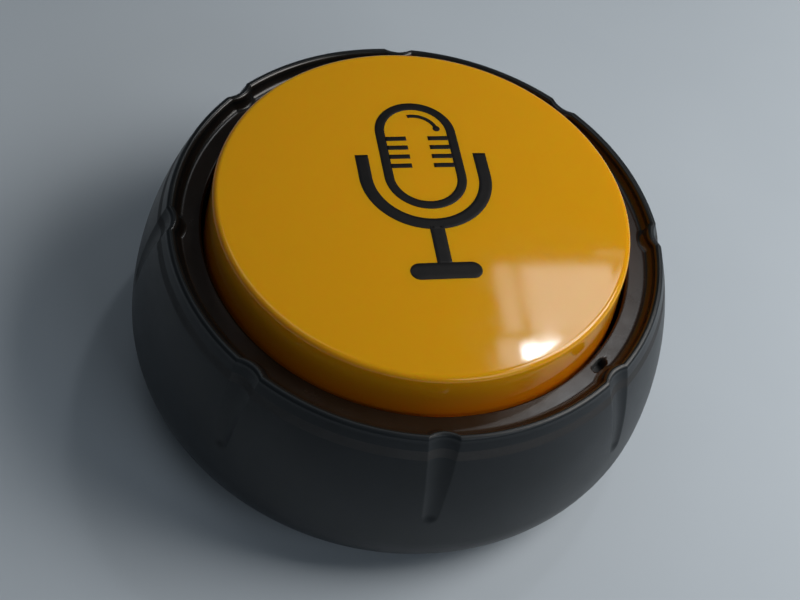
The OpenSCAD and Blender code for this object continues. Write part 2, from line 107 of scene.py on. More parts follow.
def grid_faces(rows, columns, wrap_rows=False, wrap_columns=False):
    """Quads of a grid whose vertices run row by row; a wrapped side joins its last line to its first."""
    i = np.arange(rows if wrap_rows else rows - 1)
    j = np.arange(columns if wrap_columns else columns - 1)
    i, j = np.meshgrid(i, j, indexing="ij")
    a = i * columns + j
    b = i * columns + (j + 1) % columns
    c = (i + 1) % rows * columns + (j + 1) % columns
    d = (i + 1) % rows * columns + j
    return np.stack([a, b, c, d], axis=-1).reshape(-1, 4)


def make_mesh(name, points, faces):
    """A smooth-shaded mesh object from points in millimetres and any mix of faces."""
    mesh = bpy.data.meshes.new(name)
    mesh.from_pydata((np.asarray(points, float) * MM).tolist(), [], [list(map(int, f)) for f in faces])
    mesh.validate()
    mesh.polygons.foreach_set("use_smooth", [True] * len(mesh.polygons))
    mesh.update()
    piece = bpy.data.objects.new(name, mesh)
    bpy.context.scene.collection.objects.link(piece)
    return piece


def lathe(profile, count=192, centre=(0, 0)):
    """Points and faces of an outline (radius, height) turned about the upright axis through centre.
    Where the outline starts or ends on the axis, the ring closes in one pole."""
    profile = np.asarray(profile, float)
    a = np.linspace(0, 2 * np.pi, count, endpoint=False)
    ring = profile[:, None, :]
    x = centre[0] + ring[..., 0] * np.cos(a)
    y = centre[1] + ring[..., 0] * np.sin(a)
    z = np.broadcast_to(ring[..., 1], x.shape)
    points = np.stack([x, y, z], axis=-1).reshape(-1, 3)
    closed = profile[0, 0] > 1e-9
    faces = grid_faces(len(profile), count, wrap_rows=closed, wrap_columns=True).tolist()
    return points, faces


def join_shapes(shapes):
    """One list of points and faces from several."""
    points, faces, base = [], [], 0
    for p, f in shapes:
        points.append(np.asarray(p, float))
        faces += [[int(v) + base for v in face] for face in f]
        base += len(p)
    return np.vstack(points), faces


def finish_mesh(piece, merge=1e-7):
    """Merges doubled points, such as those at a pole, and turns every face outwards."""
    data = bmesh.new()
    data.from_mesh(piece.data)
    bmesh.ops.remove_doubles(data, verts=data.verts, dist=merge)
    bmesh.ops.dissolve_degenerate(data, edges=data.edges, dist=merge)
    bmesh.ops.recalc_face_normals(data, faces=data.faces)
    data.to_mesh(piece.data)
    data.free()
    return piece


# ---- material helpers -----------------------------------------------------------------------

class Finish:
    """A Principled material with short calls for the nodes that it needs."""

    # the colour sockets of a Mix node
    MIX_FIRST, MIX_SECOND, MIX_RESULT = 6, 7, 2

    def __init__(self, name, colour, roughness, **sockets):
        self.material = bpy.data.materials.new(name)
        self.material.use_nodes = True
        self.tree = self.material.node_tree
        self.shader = self.tree.nodes["Principled BSDF"]
        self.shader.inputs["Base Color"].default_value = (*colour, 1)
        self.shader.inputs["Roughness"].default_value = roughness
        for socket, value in sockets.items():
            self.shader.inputs[socket.replace("_", " ")].default_value = value
        self.place = self.node("ShaderNodeTexCoord").outputs["Object"]

    def node(self, kind, **settings):
        made = self.tree.nodes.new(kind)
        for key, value in settings.items():
            setattr(made, key, value)
        return made

    def link(self, source, target):
        self.tree.links.new(source, target)

    def noise(self, size_mm, detail=2.0, roughness=0.5):
        """Noise whose blobs are about size_mm across."""
        made = self.node("ShaderNodeTexNoise")
        made.inputs["Scale"].default_value = 1000.0 / size_mm
        made.inputs["Detail"].default_value = detail
        made.inputs["Roughness"].default_value = roughness
        self.link(self.place, made.inputs["Vector"])
        return made.outputs["Fac"]

    def span(self, source, low, high, to_low, to_high):
        """Maps source from low..high to to_low..to_high, clamped."""
        made = self.node("ShaderNodeMapRange")
        for socket, value in zip(("From Min", "From Max", "To Min", "To Max"), (low, high, to_low, to_high)):
            made.inputs[socket].default_value = value
        self.link(source, made.inputs["Value"])
        return made.outputs["Result"]

    def tint(self, factor, first, second):
        """Colour that goes from first to second with factor."""
        made = self.node("ShaderNodeMix", data_type="RGBA")
        made.inputs[self.MIX_FIRST].default_value = (*first, 1)
        made.inputs[self.MIX_SECOND].default_value = (*second, 1)
        self.link(factor, made.inputs[0])
        return made.outputs[self.MIX_RESULT]

    def bump(self, height, depth_mm):
        """Adds a relief that is depth_mm deep over the height's full range."""
        made = self.node("ShaderNodeBump")
        made.inputs["Strength"].default_value = 1.0
        made.inputs["Distance"].default_value = depth_mm * MM
        self.link(height, made.inputs["Height"])
        self.link(made.outputs["Normal"], self.shader.inputs["Normal"])

    def height(self, low_mm, high_mm):
        """0 to 1 from one height of the piece to another, both in mm."""
        parts = self.node("ShaderNodeSeparateXYZ")
        self.link(self.place, parts.inputs[0])
        return self.span(parts.outputs["Z"], low_mm * MM, high_mm * MM, 0, 1)

    def colour(self, source):
        self.link(source, self.shader.inputs["Base Color"])

    def roughness(self, source):
        self.link(source, self.shader.inputs["Roughness"])


def satin_black():
    """Housing wall: blue-black plastic with a fine eroded texture and faint handling marks."""
    f = Finish("housing satin black", (0.007, 0.0095, 0.012), 0.42, Specular_IOR_Level=0.4)
    f.colour(f.tint(f.span(f.noise(9, 4), 0.3, 0.7, 0, 1), (0.0055, 0.008, 0.010), (0.009, 0.012, 0.015)))
    f.roughness(f.span(f.noise(14, 5, 0.6), 0.3, 0.7, 0.34, 0.43))
    f.bump(f.noise(0.32, 2, 0.6), 0.009)
    return f.material


def gloss_black():
    """Lip and well: the same plastic with a polished face."""
    f = Finish("housing gloss black", (0.007, 0.008, 0.008), 0.2, Specular_IOR_Level=0.45)
    f.colour(f.tint(f.span(f.noise(6, 4), 0.35, 0.65, 0, 1), (0.006, 0.007, 0.007), (0.009, 0.010, 0.010)))
    f.roughness(f.span(f.noise(5, 6, 0.7), 0.35, 0.75, 0.16, 0.30))
    f.bump(f.noise(2.5, 2), 0.003)
    return f.material


def well_black_painted_reflection():
    """Well floor: polished like the lip. Its brown base colour is a painted reflection of the yellow button
    that it mirrors; the plastic itself is black.
    """
    # both base colours are brown, a painted reflection of the yellow button, mottled at random
    f = Finish("housing well painted reflection", (0.020, 0.011, 0.006), 0.2, Specular_IOR_Level=0.35)
    f.colour(f.tint(f.span(f.noise(8, 4), 0.35, 0.65, 0, 1), (0.018, 0.0095, 0.005), (0.024, 0.013, 0.007)))
    f.roughness(f.span(f.noise(5, 6, 0.7), 0.35, 0.75, 0.18, 0.30))
    f.bump(f.noise(2.5, 2), 0.002)
    return f.material


def gloss_yellow():
    """Button: golden-yellow plastic, polished, with a slight orange-peel and fine wiping marks. Its colour is
    painted deeper and more orange down its side than on its crown: painted shade with a painted warm bounce
    from the well."""
    f = Finish("button gloss yellow", (0.74, 0.36, 0.004), 0.06, Specular_IOR_Level=0.5)
    f.shader.inputs["Subsurface Weight"].default_value = 0.45
    f.shader.inputs["Subsurface Radius"].default_value = (1.0, 0.32, 0.04)
    f.shader.inputs["Subsurface Scale"].default_value = 0.004
    # painted shade: colour darker and more orange down the side towards the skirt, standing in for the shade
    # and the well's warm bounce light
    f.colour(f.tint(f.height(SKIRT_Z + 3, BUTTON_Z - 0.5), (0.72, 0.175, 0.003), (0.73, 0.345, 0.004)))
    f.roughness(f.span(f.noise(6, 6, 0.7), 0.35, 0.75, 0.045, 0.10))
    f.bump(f.noise(9.0, 2), 0.004)
    return f.material


def print_ink():
    """Symbol: matt black pad print with a slightly uneven film."""
    f = Finish("symbol ink", (0.004, 0.0035, 0.0035), 0.45, Specular_IOR_Level=0.25)
    f.colour(f.tint(f.span(f.noise(1.4, 4), 0.35, 0.7, 0, 1), (0.003, 0.0028, 0.0028), (0.006, 0.005, 0.005)))
    f.bump(f.noise(0.3, 2), 0.003)
    return f.material


def moulded(name, colour, roughness=0.5, grain=0.25, depth=0.010, spread=0.12):
    """Plain injection moulding: a fine grain, slightly mottled colour and gloss."""
    f = Finish(name, colour, roughness)
    dark = tuple(c * (1 - spread) for c in colour)
    light = tuple(min(1, c * (1 + spread)) for c in colour)
    f.colour(f.tint(f.span(f.noise(7, 4), 0.3, 0.7, 0, 1), dark, light))
    f.roughness(f.span(f.noise(4, 4, 0.6), 0.3, 0.7, roughness - 0.06, roughness + 0.06))
    f.bump(f.noise(grain, 2), depth)
    return f.material


def metal(name, colour, roughness=0.3):
    """Plated or drawn metal with fine marks."""
    f = Finish(name, colour, roughness, Metallic=1.0)
    marks = f.noise(0.6, 4, 0.6)
    f.colour(f.tint(f.span(marks, 0.3, 0.7, 0, 1), tuple(c * 0.86 for c in colour), colour))
    f.roughness(f.span(marks, 0.3, 0.7, roughness * 0.75, roughness * 1.25))
    f.bump(marks, 0.004)
    return f.material


def floor_finish():
    """Plain pale floor with the faintest mottling."""
    f = Finish("pale floor", (0.50, 0.56, 0.62), 0.75)
    f.colour(f.tint(f.span(f.noise(60, 3), 0.3, 0.7, 0, 1), (0.485, 0.545, 0.605), (0.515, 0.575, 0.635)))
    return f.material


# WELL carries the well floor's painted reflection of the yellow button in its brown base colour
SATIN, GLOSS, WELL = satin_black(), gloss_black(), well_black_painted_reflection()
YELLOW, INK = gloss_yellow(), print_ink()
BASE = moulded("base plate black", (0.018, 0.018, 0.020), 0.52, 0.4, 0.018)
RUBBER = moulded("foot rubber", (0.026, 0.026, 0.027), 0.72, 0.3, 0.02)
STEEL = metal("zinc plated steel", (0.62, 0.63, 0.65), 0.30)
NICKEL = metal("nickel plate", (0.72, 0.70, 0.66), 0.24)
WIRE = metal("spring wire", (0.58, 0.59, 0.61), 0.26)
WHITE = moulded("natural moulding", (0.62, 0.62, 0.59), 0.48)


def dress(piece, body, slot, *materials):
    """Puts the piece on its body and gives it its materials."""
    piece.data.materials.clear()
    for material in materials:
        piece.data.materials.append(material)
    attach(piece, body)
    return piece


# ---- housing --------------------------------------------------------------------------------

def side_arc_points(inset, low_z, high_z, count):
    """The side wall's arc between two heights, moved in by inset."""
    radius = SIDE_ARC - inset
    a = np.degrees(np.arcsin((np.array([low_z, high_z]) - BELLY_Z) / radius))
    return arc((BELLY_R - SIDE_ARC, BELLY_Z), radius, a[0], a[1], count)


def heel_arc_points(inset, low_z, count):
    """The arc that curls in under the belly, from low_z up to the belly."""
    radius = HEEL_ARC - inset
    start = math.degrees(math.asin((low_z - BELLY_Z) / radius))
    return arc((BELLY_R - HEEL_ARC, BELLY_Z), radius, start, 0, count)


def housing_outline():
    """Closed half section of the housing, from the bottom edge up the outside, over the lip, through
    the well and the button's opening, and back down the inside. Returns the points and, for each,
    how much of a flute's depth it takes."""
    lip_centre = (RIM_R - LIP_R, LIP_Z)
    outside = chain(line((SEAT_R, HEEL_Z), (HEEL_R - 0.25, HEEL_Z), 3),
                    arc((HEEL_R - 0.25, HEEL_Z + 0.3), 0.3, -90, -35, 4),
                    heel_arc_points(0, HEEL_Z + 0.25, 12),
                    side_arc_points(0, BELLY_Z, LIP_Z, 56))
    lip = arc(lip_centre, LIP_R, 0, 180, 15)
    fillet = LIP_Z - FLOOR_Z
    slope = arc((RIM_R - 2 * LIP_R - fillet, LIP_Z), fillet, 0, -90, 16)
    well_floor = line(slope[-1], (OPENING_R + 0.35, FLOOR_Z), 26)
    edge = arc((OPENING_R + 0.35, FLOOR_Z - 0.35), 0.35, 90, 180, 6)
    under = chain(line(edge[-1], (OPENING_R, FLOOR_UNDER), 3),
                  line((OPENING_R, FLOOR_UNDER), (38.8, FLOOR_UNDER), 3),
                  side_arc_points(WALL, FLOOR_UNDER, BELLY_Z, 12),
                  heel_arc_points(WALL, 4.6, 5)[::-1],
                  line((LEDGE_R, 4.6), (LEDGE_R, SEAT_Z), 2),
                  line((SEAT_R, SEAT_Z), (SEAT_R, HEEL_Z + 0.2), 2))
    points = chain(outside, lip, slope, well_floor, edge, under)
    index = np.arange(len(points))
    n_out = len(outside)
    n_polished = len(chain(outside, lip, slope, well_floor, edge))
    flute_share = np.where(index < n_out, 1.0, smooth_step(points[:, 0], 36.4, 37.6))
    flute_share[n_polished:] = 0
    return points, flute_share


def housing_angles(coarse=336, fine=40):
    """Angles around the housing, closer together across each flute and the microphone's hole."""
    base = np.linspace(0, 360, coarse, endpoint=False)
    pitch = 360 / FLUTES
    near = np.abs((base + pitch / 2) % pitch - pitch / 2) > 4.2
    flutes = np.concatenate([k * pitch + np.linspace(-4.0, 4.0, fine) for k in range(FLUTES)])
    return np.sort(np.unique(np.round(np.concatenate([base[near], flutes]) % 360, 4)))


def flute_depth(angle, radius, height):
    """Depth of the flutes at each point. Across a flute it is 1 - u^2, where u is the distance
    from the flute's centre line over its half width; both depth and half width shrink in a straight
    line on the way down, and the lower end closes in a half circle."""
    pitch = 2 * np.pi / FLUTES
    off = (angle + pitch / 2) % pitch - pitch / 2
    t = np.clip((height - FLUTE_END) / (LIP_Z - FLUTE_END), 0, 1)
    half = FLUTE_END_W + (FLUTE_TOP_W - FLUTE_END_W) * t
    depth = FLUTE_END_D + (FLUTE_TOP_D - FLUTE_END_D) * t
    below = np.maximum(FLUTE_END + FLUTE_END_W - height, 0)
    u = np.hypot(radius * off, below) / half
    return depth * np.clip(1 - u * u, 0, 1)


def build_housing():
    """The section turned about the upright axis, each point pulled in by the flutes' depth there, so
    that the lip keeps its thickness and bulges into the well behind each flute. The microphone's
    hole is a steep-sided slot pressed into the well floor."""
    section, share = housing_outline()
    a = np.radians(housing_angles())[:, None]
    radius = np.broadcast_to(section[:, 0], (len(a), len(section))).copy()
    height = np.broadcast_to(section[:, 1], radius.shape).copy()
    radius -= share * flute_depth(a, np.maximum(radius, RIM_R - 0.5), np.where(share < 1, LIP_Z, height))
    mic = np.radians(MIC_ANGLE)
    across = radius * np.cos(a - mic) - MIC_AT
    along = radius * np.sin(a - mic)
    reach = np.hypot(across, np.maximum(np.abs(along) - (MIC_LONG - MIC_WIDE), 0))
    on_floor = (height > FLOOR_Z - 0.01) & (height < FLOOR_Z + 0.01) & (np.abs(along) < 4)
    hole = 1 - smooth_step(reach, MIC_WIDE - 0.12, MIC_WIDE + 0.1)
    height -= np.where(on_floor, MIC_DEEP * hole, 0)
    points = np.stack([radius * np.cos(a), radius * np.sin(a), height], axis=-1).reshape(-1, 3)
    faces = grid_faces(*radius.shape, wrap_rows=True, wrap_columns=True)
    return finish_mesh(make_mesh("housing", points, faces))


def paint_housing(piece):
    """Satin outside; gloss on the lip's crest and inside it; the well's finish on the well floor, whose brown
    base colour is a painted reflection of the yellow button; and matt rubber black in the microphone's hole.
    Known fault: the hole's mask goes by height and radius alone, so it also takes a band of the outer wall at
    the hole's height, which should be satin."""
    count = len(piece.data.polygons)
    centres = np.zeros(count * 3)
    piece.data.polygons.foreach_get("center", centres)
    centres = centres.reshape(-1, 3) / MM
    angle = np.arctan2(centres[:, 1], centres[:, 0])
    radius = np.hypot(centres[:, 0], centres[:, 1])
    inset = flute_depth(angle, np.full(count, RIM_R), np.full(count, LIP_Z))
    inside = (radius + inset < RIM_R - LIP_R * 0.9) & (centres[:, 2] > FLOOR_Z - 2)
    # low: the well floor's faces, which take the well finish with its painted reflection of the button
    low = inside & (centres[:, 2] < FLOOR_Z + 0.1) & (radius < WELL_R)
    hole = (centres[:, 2] < FLOOR_Z - 0.2) & (centres[:, 2] > FLOOR_UNDER + 0.01)
    hole &= radius > OPENING_R + 0.6
    index = np.where(hole, 3, inside.astype(np.int32) + low)
    piece.data.polygons.foreach_set("material_index", index)
    piece.data.update()


housing = build_housing()
dress(housing, "base_unit", "housing_black", SATIN, GLOSS, WELL, RUBBER)
paint_housing(housing)
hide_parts("housing_shell")


# ---- button ---------------------------------------------------------------------------------

def crown_height(radius):
    """Height of the crown's sphere at a distance from the middle."""
    return BUTTON_Z + CROWN - CROWN_ARC + np.sqrt(CROWN_ARC ** 2 - np.asarray(radius) ** 2)


def button_outline():
    """Half section of the cap: crown, rounded edge, drafted side, and the hollow inside."""
    flat = np.linspace(0, BUTTON_R - BUTTON_EDGE, 40)
    crown = np.column_stack([flat, crown_height(flat)])
    lean = math.degrees(math.atan((SKIRT_R - BUTTON_R) / (BUTTON_Z - BUTTON_EDGE - SKIRT_Z)))
    edge = arc((BUTTON_R - BUTTON_EDGE, BUTTON_Z - BUTTON_EDGE), BUTTON_EDGE, 87, lean, 16)
    side = line(edge[-1], (SKIRT_R, SKIRT_Z), 16)
    inside = chain(line((SKIRT_R - 1.8, SKIRT_Z), (BUTTON_R - 1.8, CEILING_Z), 6),
                   line((BUTTON_R - 1.8, CEILING_Z), (0, CEILING_Z), 6))
    return chain(crown, edge, side, inside)


def box_shape(low, high):
    """Points and faces of a box between two corners."""
    x, y, z = np.meshgrid(*zip(low, high), indexing="ij")
    points = np.stack([x, y, z], axis=-1).reshape(-1, 3)
    faces = [[0, 1, 3, 2], [4, 6, 7, 5], [0, 4, 5, 1], [2, 3, 7, 6], [0, 2, 6, 4], [1, 5, 7, 3]]
    return points, faces


def turned(shape, degrees, out=0.0):
    """A shape moved out along +X and then turned about the upright axis."""
    points, faces = shape
    a = math.radians(degrees)
    x, y = points[:, 0] + out, points[:, 1]
    c, s = math.cos(a), math.sin(a)
    return np.column_stack([x * c - y * s, x * s + y * c, points[:, 2]]), faces


def rod(radius, low, high, centre=(0, 0), edge=0.3, count=48):
    """A round rod with softened ends, standing upright."""
    outline = chain(line((0, low), (radius - edge, low), 2),
                    arc((radius - edge, low + edge), edge, -90, 0, 5),
                    arc((radius - edge, high - edge), edge, 0, 90, 5),
                    line((radius - edge, high), (0, high), 2))
    return lathe(outline, count, centre)


cap = make_mesh("button_dome", *lathe(button_outline(), 256))
finish_mesh(cap)
dress(cap, "button", "button_yellow", YELLOW)
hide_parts("button_cap")

TAB_ANGLES, EAR_ANGLES, SPRING_AT = (30, 150, 270), (90, 210, 330), 22.0
STEM_LOW = 26.82
CORE_TOP = CEILING_Z + 0.2
RIB_LOW, RIB_HIGH = (2, -0.6, CEILING_Z - 3), (31.8, 0.6, CORE_TOP)
TAB_LOW, TAB_HIGH = (SKIRT_R - 0.6, -4, SKIRT_Z + 0.5), (SKIRT_R + 1.3, 4, FLOOR_UNDER - 0.3)
core_shapes = [rod(3.0, STEM_LOW, CORE_TOP)]
core_shapes += [turned(rod(2.3, CEILING_Z - 5, CORE_TOP), a, SPRING_AT) for a in TAB_ANGLES]
core_shapes += [turned(box_shape(RIB_LOW, RIB_HIGH), a) for a in EAR_ANGLES]
core_shapes += [turned(box_shape(TAB_LOW, TAB_HIGH), a) for a in TAB_ANGLES]
core = make_mesh("button_stem_and_ribs", *join_shapes(core_shapes))
finish_mesh(core)
dress(core, "button", "button_yellow", YELLOW)


# ---- printed symbol ---------------------------------------------------------------------------

SYMBOL_TURN, SYMBOL_AT = 4.4, (0.8, -2.95)
FILM = 0.05
CAPSULE_R, CAPSULE_LINE, CAPSULE_Y = 6.65, 1.55, (7.9, 17.35)
CRADLE_R, CRADLE_LINE, CRADLE_TOP = 10.7, 2.1, 12.7
BASE_Y, BASE_LINE, BASE_REACH, BASE_ROUND = -10.8, 3.1, 5.65, 4.1
ROW_Y, ROW_PITCH, ROW_LONG, ROW_LINE = 10.25, 1.94, 3.45, 0.9
STEM_LINE = 2.35
GLINT_R, GLINT_LINE, DOT_R = 3.7, 0.68, 0.3


def on_crown(points, lift):
    """Symbol coordinates laid on the crown: turned and shifted, then lifted to the surface."""
    a = math.radians(SYMBOL_TURN)
    x, y = points[:, 0] + SYMBOL_AT[0], points[:, 1] + SYMBOL_AT[1]
    x, y = x * math.cos(a) - y * math.sin(a), x * math.sin(a) + y * math.cos(a)
    return np.column_stack([x, y, crown_height(np.hypot(x, y)) + lift])


def stroke(path, width, closed=False, round_ends=False):
    """A line of ink along a path: at each point the film reaches half the width to both sides. Its
    section is a low pad whose top edges are softened. Round ends narrow the last points on a circle."""
    path = np.asarray(path, float)
    if closed:
        ahead = np.roll(path, -1, axis=0) - np.roll(path, 1, axis=0)
    else:
        ahead = np.gradient(path, axis=0)
    ahead /= np.linalg.norm(ahead, axis=1)[:, None]
    side = np.column_stack([-ahead[:, 1], ahead[:, 0]])
    half = np.full(len(path), width / 2)
    if round_ends:
        run = np.r_[0, np.cumsum(np.linalg.norm(np.diff(path, axis=0), axis=1))]
        gap = np.minimum(run, run[-1] - run)
        inside = np.clip(gap / (width / 2), 0, 1)
        half = width / 2 * np.sqrt(np.maximum(1 - (1 - inside) ** 2, 1e-4))
    across = np.array([-1.0, -0.94, -0.45, 0.45, 0.94, 1.0, 1.0, -1.0])
    lift = np.array([0.35, 1.0, 1.0, 1.0, 1.0, 0.35, -0.6, -0.6]) * FILM
    points = np.vstack([on_crown(path + side * (half * k)[:, None], h) for k, h in zip(across, lift)])
    faces = grid_faces(len(across), len(path), wrap_rows=True, wrap_columns=closed).tolist()
    if not closed:
        n = len(path)
        faces.append([k * n for k in range(len(across))])
        faces.append([k * n + n - 1 for k in range(len(across) - 1, -1, -1)])
    return points, faces


def symbol_shapes():
    """Capsule outline, its side lines and glint, the cradle, the stem and the base bar."""
    low, high = CAPSULE_Y
    r = CAPSULE_R - CAPSULE_LINE / 2
    capsule = chain(arc((0, high), r, 0, 180, 49), line((-r, high), (-r, low), 24)[1:-1],
                    arc((0, low), r, 180, 360, 49), line((r, low), (r, high), 24)[1:-1])
    shapes = [stroke(capsule, CAPSULE_LINE, closed=True)]
    inner = CAPSULE_R - CAPSULE_LINE + 0.15
    for side in (-1, 1):
        for row in range(4):
            y = ROW_Y + ROW_PITCH * row
            shapes.append(stroke(line((side * inner, y), (side * (inner - ROW_LONG), y), 9), ROW_LINE))
    r = CRADLE_R - CRADLE_LINE / 2
    cradle = chain(line((-r, CRADLE_TOP), (-r, low), 12), arc((0, low), r, 180, 360, 73),
                   line((r, low), (r, CRADLE_TOP), 12))
    shapes.append(stroke(cradle, CRADLE_LINE))
    shapes.append(stroke(line((0, low - CRADLE_R + 0.6), (0, BASE_Y + 1.4), 20), STEM_LINE))
    base = chain(line((-BASE_REACH, BASE_Y), (-BASE_ROUND, BASE_Y), 24),
                 line((-BASE_ROUND, BASE_Y), (BASE_ROUND, BASE_Y), 12),
                 line((BASE_ROUND, BASE_Y), (BASE_REACH, BASE_Y), 24))
    shapes.append(stroke(base, BASE_LINE, round_ends=True))
    glint = arc((0, high), GLINT_R, 102, 13, 30)
    shapes.append(stroke(glint, GLINT_LINE))
    shapes.append(stroke(arc(glint[-1], DOT_R, 0, 360, 25)[:-1], 2 * DOT_R, closed=True))
    return shapes


symbol = make_mesh("printed_symbol", *join_shapes(symbol_shapes()))
finish_mesh(symbol)
dress(symbol, "button", "print_black", INK)
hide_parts("button_symbol")


# ---- wire and springs -------------------------------------------------------------------------

def tube(path, radius, sides=16):
    """A round wire along a path: a circle of that radius in the plane across the path at each point,
    carried along without twist, with a flat cap at both ends."""
    path = np.asarray(path, float)
    ahead = np.gradient(path, axis=0)
    ahead /= np.linalg.norm(ahead, axis=1)[:, None]
    side = np.cross(ahead[0], [0.31, 0.17, 0.93] if abs(ahead[0][2]) < 0.9 else [1.0, 0.1, 0.0])
    rings = []
    a = np.linspace(0, 2 * np.pi, sides, endpoint=False)
    for place, t in zip(path, ahead):
        side = side - t * np.dot(side, t)
        side = side / np.linalg.norm(side)
        other = np.cross(t, side)
        rings.append(place + radius * (np.outer(np.cos(a), side) + np.outer(np.sin(a), other)))
    faces = grid_faces(len(path), sides, wrap_columns=True).tolist()
    last = (len(path) - 1) * sides
    faces.append(list(range(sides))[::-1])
    faces.append([last + k for k in range(sides)])
    return np.vstack(rings), faces


def smooth_path(points, steps=8):
    """Catmull-Rom curve through the points: on each stretch
    p(s) = (2b + (c-a)s + (2a-5b+4c-d)s^2 + (3b-a-3c+d)s^3) / 2."""
    p = np.asarray(points, float)
    p = np.vstack([p[0], p, p[-1]])
    s = np.linspace(0, 1, steps, endpoint=False)[:, None]
    parts = []
    for a, b, c, d in zip(p[:-3], p[1:-2], p[2:-1], p[3:]):
        parts.append(0.5 * (2 * b + (c - a) * s + (2 * a - 5 * b + 4 * c - d) * s ** 2
                            + (3 * b - a - 3 * c + d) * s ** 3))
    return np.vstack(parts + [p[-1:]])


def coil(radius_low, radius_high, height, turns, closed=0.0, steps=28):
    """A helix up +Z: the angle runs evenly and the height eases in and out, so that the first and
    last turns lie nearly flat when closed is 1. The radius goes evenly from low to high."""
    s = np.linspace(0, 1, int(turns * steps) + 1)
    eased = s - closed * np.sin(2 * np.pi * s) / (2 * np.pi)
    a = 2 * np.pi * turns * s
    r = radius_low + (radius_high - radius_low) * s
    return np.column_stack([r * np.cos(a), r * np.sin(a), height * eased])


DECK_TOP, COIL_R, COIL_WIRE = 23.0, 3.1, 0.35
for number, angle in enumerate(TAB_ANGLES, start=1):
    spring_path = coil(COIL_R, COIL_R, CEILING_Z - DECK_TOP - 0.8, 6, closed=0.75)
    spring_path[:, 2] += DECK_TOP + 0.4
    points, faces = turned(tube(spring_path + [SPRING_AT, 0, 0], COIL_WIRE, 14), angle)
    spring = make_mesh(f"press_spring_{number}", points, faces)
    dress(spring, "base_unit", "spring_steel", WIRE)
    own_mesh(spring)
    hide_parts(f"return_spring_{number}")


# ---- cells ------------------------------------------------------------------------------------

CELL_Z, CELL_Y, CELL_R = 8.65, (-5.1, -15.9), 5.2
CONTACT_X, TAIL_X = 24.9, 24.9 - 44.5


def cell_spring(mirror):
    """Conical coil from the bay's end contact to a cell's flat end."""
    path = coil(3.2, 2.0, CONTACT_X + TAIL_X - 0.8, 3, closed=0.5)
    path = np.column_stack([path[:, 2] - CONTACT_X + 0.4, path[:, 1], path[:, 0] + CELL_Z])
    return path * [mirror, 1, 1]


for number, (y, mirror) in enumerate(zip(CELL_Y, (1, -1)), start=1):
    points, faces = tube(cell_spring(mirror) + [0, y, 0], COIL_WIRE, 12)
    spring = make_mesh(f"cell_spring_{number}", points, faces)
    dress(spring, "base_unit", "contact_nickel", WIRE)
    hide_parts(f"battery_spring_{number}")


def cell_outline():
    """Half section of an AAA cell along its length, from the flat end to the terminal: steel cup,
    sleeve shrunk round both ends, shoulder, and the button terminal."""
    tail, tip = TAIL_X, CONTACT_X
    body = tip - 1.0
    return chain(line((tail, 0), (tail, 3.4), 6),
                 arc((tail + 0.25, 3.4), 0.25, 180, 90, 4)[1:],
                 line((tail + 0.3, 3.75), (tail + 0.3, CELL_R - 0.55), 5),
                 arc((tail + 0.75, CELL_R - 0.45), 0.45, 180, 90, 7),
                 line((tail + 0.8, CELL_R), (body - 0.8, CELL_R), 30),
                 arc((body - 0.75, CELL_R - 0.6), 0.6, 90, 0, 7),
                 line((body - 0.15, CELL_R - 0.8), (body - 0.2, 2.6), 6),
                 line((body - 0.2, 2.2), (body, 1.9), 2),
                 line((body + 0.1, 1.9), (tip - 0.25, 1.9), 3),
                 arc((tip - 0.25, 1.65), 0.25, 90, 0, 4),
                 line((tip, 1.5), (tip, 0), 4))


SLEEVE = moulded("cell sleeve", (0.045, 0.17, 0.11), 0.28, 3.0, 0.006)
BAND = moulded("cell sleeve band", (0.62, 0.60, 0.55), 0.26, 3.0, 0.006)
CUP = metal("cell cup", (0.70, 0.70, 0.70), 0.28)
BAND_LONG = 12
for number, (y, mirror) in enumerate(zip(CELL_Y, (1, -1)), start=1):
    points, faces = lathe(cell_outline()[:, ::-1], 96)
    points = np.column_stack([points[:, 2] * mirror, points[:, 0] + y, points[:, 1] + CELL_Z])
    cell = finish_mesh(make_mesh(f"cell_{number}", points, faces))
    dress(cell, "base_unit", "cell_sleeve", SLEEVE, BAND, CUP)
    centres = np.array([f.center[:] for f in cell.data.polygons]) / MM
    along = centres[:, 0] * mirror
    out = np.hypot(centres[:, 1] - y, centres[:, 2] - CELL_Z)
    which = np.where(along > CONTACT_X - BAND_LONG, 1, 0)
    which = np.where((along < TAIL_X + 0.35) | (out < CELL_R - 1.1), 2, which)
    cell.data.polygons.foreach_set("material_index", which.astype(np.int32))
    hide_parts(f"aaa_cell_{number}")


# ---- leads ------------------------------------------------------------------------------------

BOARD_Z, LEAD_R = 17.5, 0.55
BATTERY_ROUTE = np.array([[0, 0, 0.02], [0, 0, 0.8], [0.05, 0, 1.9], [-0.35, 0, 2.75], [-1.4, 0, 3.05],
                          [-2.8, 0, 3], [-4.2, 0, 2.95], [-4.91, 0, 3.24], [-5.2, 0, 3.8], [-5.2, 0, 4.07]])
RED = moulded("red lead", (0.50, 0.02, 0.015), 0.35)
BLACK = moulded("black lead", (0.014, 0.014, 0.014), 0.35)
LEMON = moulded("yellow lead", (0.66, 0.52, 0.03), 0.35)


def lead(name, node, slot, material, routes, radius=LEAD_R):
    """Insulated wire or wires along the given routes."""
    shapes = [tube(smooth_path(route), radius, 14) for route in routes]
    piece = dress(make_mesh(name, *join_shapes(shapes)), "base_unit", slot, material)
    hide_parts(node)


lead("red_battery_lead", "battery_lead_red", "lead_red", RED,
     [BATTERY_ROUTE + [27.2, CELL_Y[0], 13.4]])
lead("black_battery_lead", "battery_lead_black", "lead_black", BLACK,
     [BATTERY_ROUTE + [27.2, CELL_Y[1] + 1, 13.4]])

lead("speaker_lead_pair", "speaker_leads", "lead_red", RED,
     [[[k * 3, 12.6, 12.4], [k * 3.2, 10.5, 13.2], [k * 3.4, 10, 15], [k * 3.4, 10, BOARD_Z]]
      for k in (-1, 1)])

